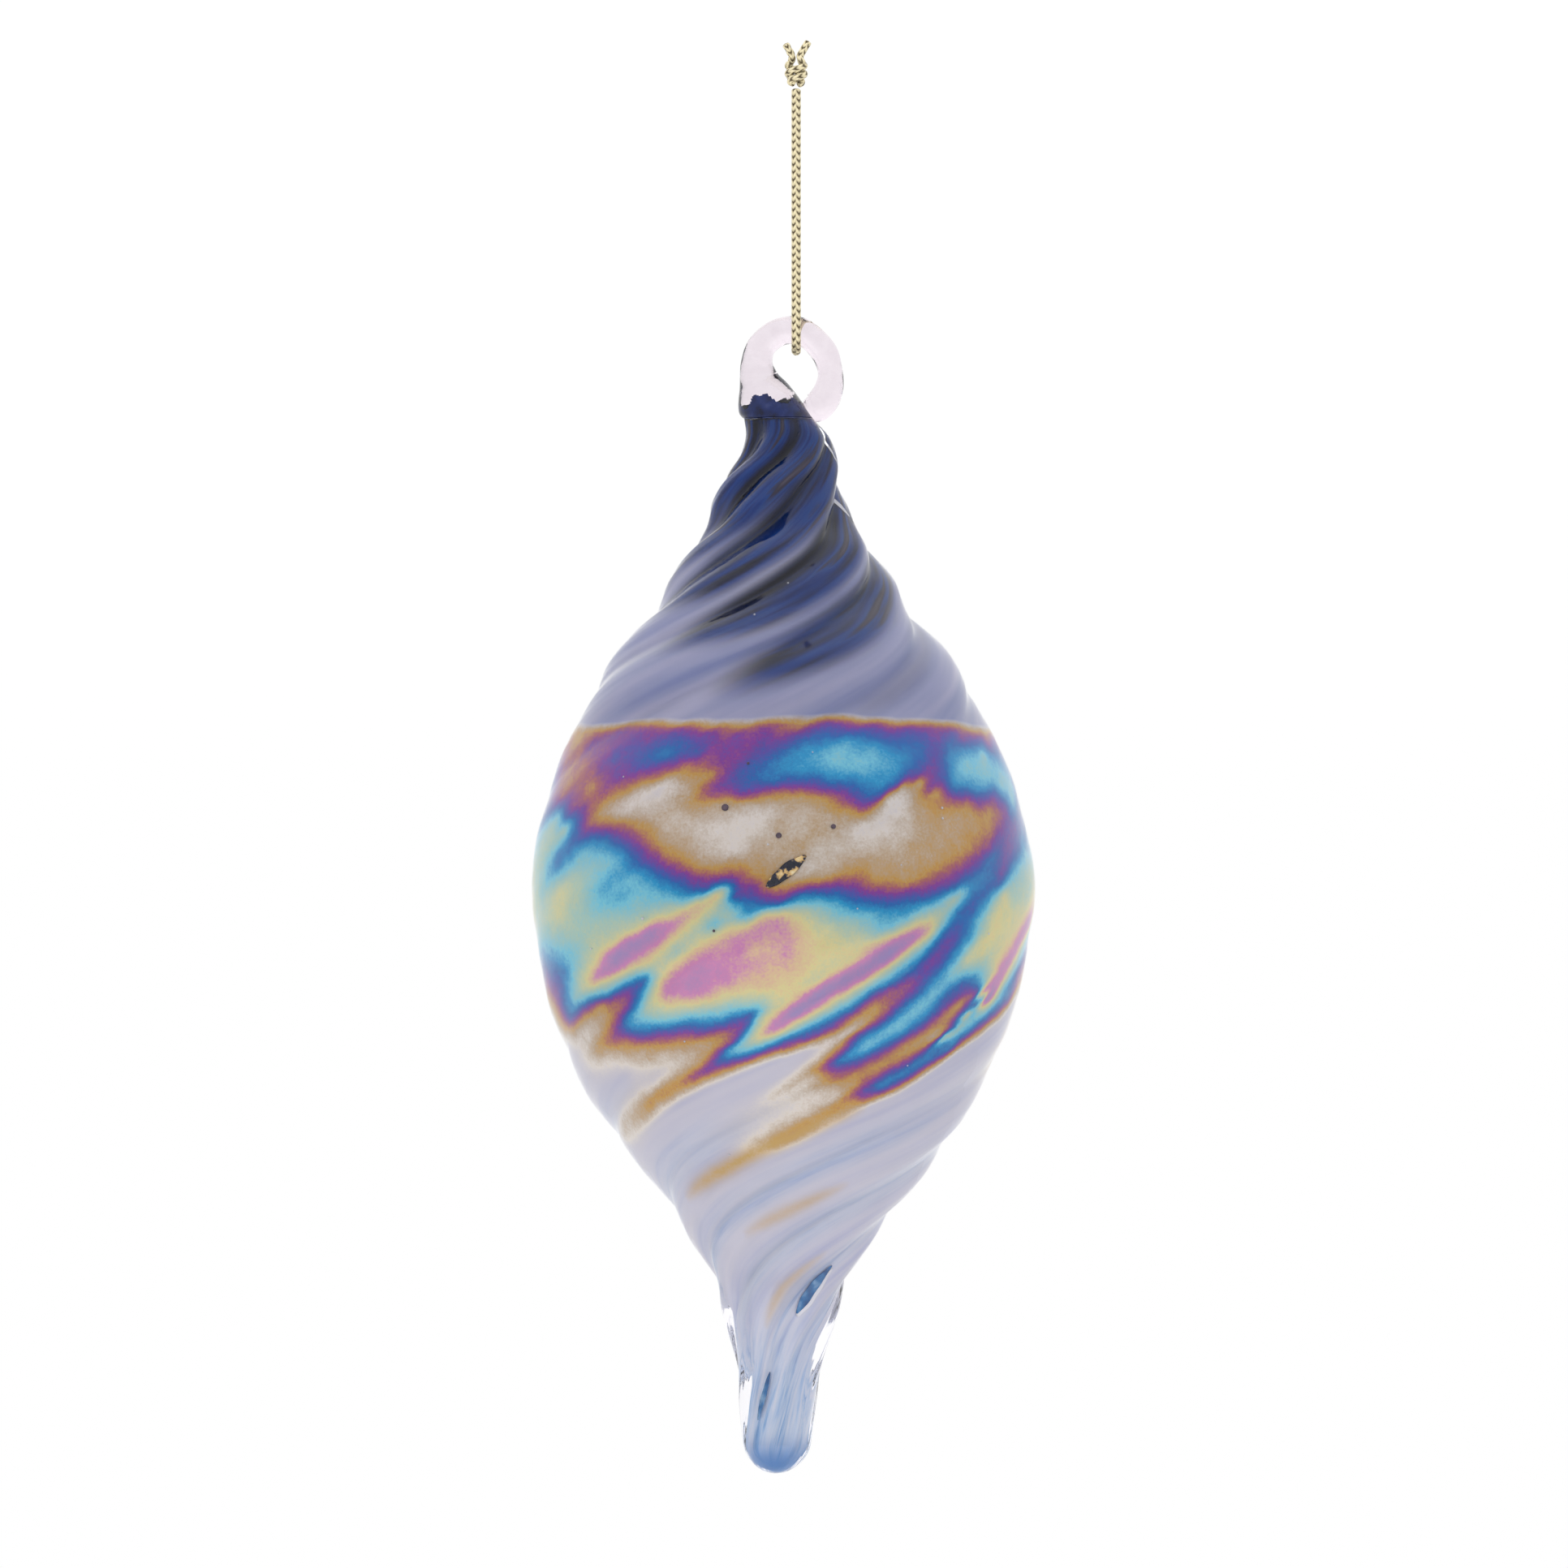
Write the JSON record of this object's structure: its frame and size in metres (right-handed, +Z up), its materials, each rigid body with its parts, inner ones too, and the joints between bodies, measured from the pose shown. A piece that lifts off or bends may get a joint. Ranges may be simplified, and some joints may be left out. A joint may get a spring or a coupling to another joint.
{
  "type": "hanging glass ornament",
  "caption": "Twisted blown-glass icicle ornament with a drawn tip, a curled glass eye and a knotted metallic hanging cord.",
  "frame": {"origin": "inner top of the cord's loop, just under its knot, where a hook or a twig holds the ornament", "axes": "+Z up along the hanging cord, +X across the flat of the glass eye, Y through the hole of the eye"},
  "size_m": [0.0694, 0.0692, 0.1983],
  "materials": {
    "clear_glass": "clear, glossy, faintly lilac",
    "lustre_glass": "cobalt neck, pearly lilac body and tip, with an iridescent oil-film band",
    "gold_cord": "fine knitted metallic gold"
  },
  "bodies": {
    "knot": {"cord_knot": "gold_cord"},
    "cord": {"hanging_cord": "gold_cord"},
    "glass": {"glass_casing": "clear_glass", "colour_bubble": "lustre_glass", "hanging_eye": "clear_glass"}
  },
  "joints": [
    {"name": "cord_sway", "type": "hinge", "parent": "knot", "child": "cord", "pos_m": [0, 0, 0], "axis": [0, 1, 0], "range_deg": [-45, 45]},
    {"name": "glass_swing", "type": "hinge", "parent": "cord", "child": "glass", "pos_m": [0, 0, -0.0337], "axis": [1, 0, 0], "range_deg": [-90, 90]}
  ]
}
